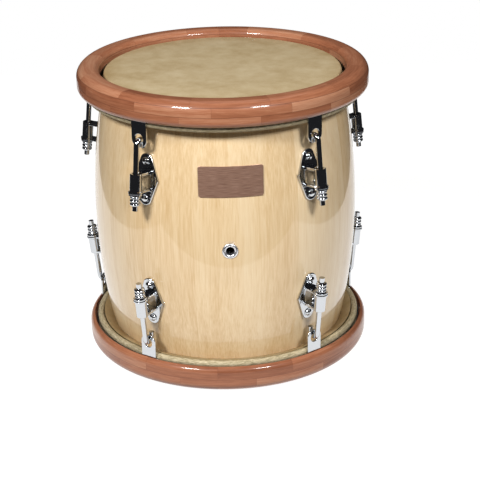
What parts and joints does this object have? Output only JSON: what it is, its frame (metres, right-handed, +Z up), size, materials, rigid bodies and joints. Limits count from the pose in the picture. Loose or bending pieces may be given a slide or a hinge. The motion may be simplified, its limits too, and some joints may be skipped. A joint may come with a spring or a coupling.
{
  "type": "barrel drum",
  "caption": "Two-headed wooden barrel drum: rawhide heads on flesh hoops, wood-capped counter hoops, and hook rods with tuning nuts through side brackets.",
  "frame": {"origin": "on the drum axis, halfway between its two ends", "axes": "+Z up along the drum axis, -Y the front with the vent, +X to the right seen from the front"},
  "size_m": [0.3518, 0.3554, 0.35],
  "materials": {
    "stave_wood": "clear gloss lacquer",
    "rim_wood": "clear gloss lacquer",
    "rawhide": "dry scraped rawhide",
    "hoop_wood": "plain",
    "chrome": "polished"
  },
  "bodies": {
    "drum": {"shell": "stave_wood", "vent_grommet": "chrome", "top_head": "rawhide", "top_flesh_hoop": "hoop_wood", "top_bracket_1": "chrome", "top_bolt_1a": "chrome", "top_bolt_1b": "chrome", "top_bracket_2": "chrome", "top_bolt_2a": "chrome", "top_bolt_2b": "chrome", "top_bracket_3": "chrome", "top_bolt_3a": "chrome", "top_bolt_3b": "chrome", "top_bracket_4": "chrome", "top_bolt_4a": "chrome", "top_bolt_4b": "chrome", "top_bracket_5": "chrome", "top_bolt_5a": "chrome", "top_bolt_5b": "chrome", "bottom_head": "rawhide", "bottom_flesh_hoop": "hoop_wood", "bottom_bracket_1": "chrome", "bottom_bolt_1a": "chrome", "bottom_bolt_1b": "chrome", "bottom_bracket_2": "chrome", "bottom_bolt_2a": "chrome", "bottom_bolt_2b": "chrome", "bottom_bracket_3": "chrome", "bottom_bolt_3a": "chrome", "bottom_bolt_3b": "chrome", "bottom_bracket_4": "chrome", "bottom_bolt_4a": "chrome", "bottom_bolt_4b": "chrome", "bottom_bracket_5": "chrome", "bottom_bolt_5a": "chrome", "bottom_bolt_5b": "chrome"},
    "top_rim": {"top_wood_rim": "rim_wood", "top_counter_hoop": "chrome", "top_hook_1": "chrome", "top_hook_2": "chrome", "top_hook_3": "chrome", "top_hook_4": "chrome", "top_hook_5": "chrome"},
    "bottom_rim": {"bottom_wood_rim": "rim_wood", "bottom_counter_hoop": "chrome", "bottom_hook_1": "chrome", "bottom_hook_2": "chrome", "bottom_hook_3": "chrome", "bottom_hook_4": "chrome", "bottom_hook_5": "chrome"},
    "top_nut_1": {"top_nut_1": "chrome"},
    "top_nut_2": {"top_nut_2": "chrome"},
    "top_nut_3": {"top_nut_3": "chrome"},
    "top_nut_4": {"top_nut_4": "chrome"},
    "top_nut_5": {"top_nut_5": "chrome"},
    "bottom_nut_1": {"bottom_nut_1": "chrome"},
    "bottom_nut_2": {"bottom_nut_2": "chrome"},
    "bottom_nut_3": {"bottom_nut_3": "chrome"},
    "bottom_nut_4": {"bottom_nut_4": "chrome"},
    "bottom_nut_5": {"bottom_nut_5": "chrome"}
  },
  "joints": [
    {"name": "top_rim_lift", "type": "slide", "parent": "drum", "child": "top_rim", "axis": [0, 0, 1], "range_m": [0, 0.004]},
    {"name": "bottom_rim_lift", "type": "slide", "parent": "drum", "child": "bottom_rim", "axis": [0, 0, -1], "range_m": [0, 0.004]},
    {"name": "top_nut_1_turn", "type": "hinge", "parent": "drum", "child": "top_nut_1", "pos_m": [0.10366, -0.14267, 0.06449], "axis": [0.0635, -0.0874, -0.9941], "range_deg": [0, 1140]},
    {"name": "top_nut_2_turn", "type": "hinge", "parent": "drum", "child": "top_nut_2", "pos_m": [0.16773, 0.0545, 0.06449], "axis": [0.1028, 0.0334, -0.9941], "range_deg": [0, 1140]},
    {"name": "top_nut_3_turn", "type": "hinge", "parent": "drum", "child": "top_nut_3", "pos_m": [0, 0.17636, 0.06449], "axis": [0, 0.1081, -0.9941], "range_deg": [0, 1140]},
    {"name": "top_nut_4_turn", "type": "hinge", "parent": "drum", "child": "top_nut_4", "pos_m": [-0.16773, 0.0545, 0.06449], "axis": [-0.1028, 0.0334, -0.9941], "range_deg": [0, 1140]},
    {"name": "top_nut_5_turn", "type": "hinge", "parent": "drum", "child": "top_nut_5", "pos_m": [-0.10366, -0.14267, 0.06449], "axis": [-0.0635, -0.0874, -0.9941], "range_deg": [0, 1140]},
    {"name": "bottom_nut_1_turn", "type": "hinge", "parent": "drum", "child": "bottom_nut_1", "pos_m": [0.10366, -0.14267, -0.06449], "axis": [0.0635, -0.0874, 0.9941], "range_deg": [0, 1140]},
    {"name": "bottom_nut_2_turn", "type": "hinge", "parent": "drum", "child": "bottom_nut_2", "pos_m": [0.16773, 0.0545, -0.06449], "axis": [0.1028, 0.0334, 0.9941], "range_deg": [0, 1140]},
    {"name": "bottom_nut_3_turn", "type": "hinge", "parent": "drum", "child": "bottom_nut_3", "pos_m": [0, 0.17636, -0.06449], "axis": [0, 0.1081, 0.9941], "range_deg": [0, 1140]},
    {"name": "bottom_nut_4_turn", "type": "hinge", "parent": "drum", "child": "bottom_nut_4", "pos_m": [-0.16773, 0.0545, -0.06449], "axis": [-0.1028, 0.0334, 0.9941], "range_deg": [0, 1140]},
    {"name": "bottom_nut_5_turn", "type": "hinge", "parent": "drum", "child": "bottom_nut_5", "pos_m": [-0.10366, -0.14267, -0.06449], "axis": [-0.0635, -0.0874, 0.9941], "range_deg": [0, 1140]}
  ],
  "couplings": [
    {"joint": "top_nut_1_turn", "follows": "top_rim_lift", "rad_per_m": 4947.4},
    {"joint": "top_nut_2_turn", "follows": "top_rim_lift", "rad_per_m": 4947.4},
    {"joint": "top_nut_3_turn", "follows": "top_rim_lift", "rad_per_m": 4947.4},
    {"joint": "top_nut_4_turn", "follows": "top_rim_lift", "rad_per_m": 4947.4},
    {"joint": "top_nut_5_turn", "follows": "top_rim_lift", "rad_per_m": 4947.4},
    {"joint": "bottom_nut_1_turn", "follows": "bottom_rim_lift", "rad_per_m": 4947.4},
    {"joint": "bottom_nut_2_turn", "follows": "bottom_rim_lift", "rad_per_m": 4947.4},
    {"joint": "bottom_nut_3_turn", "follows": "bottom_rim_lift", "rad_per_m": 4947.4},
    {"joint": "bottom_nut_4_turn", "follows": "bottom_rim_lift", "rad_per_m": 4947.4},
    {"joint": "bottom_nut_5_turn", "follows": "bottom_rim_lift", "rad_per_m": 4947.4}
  ]
}
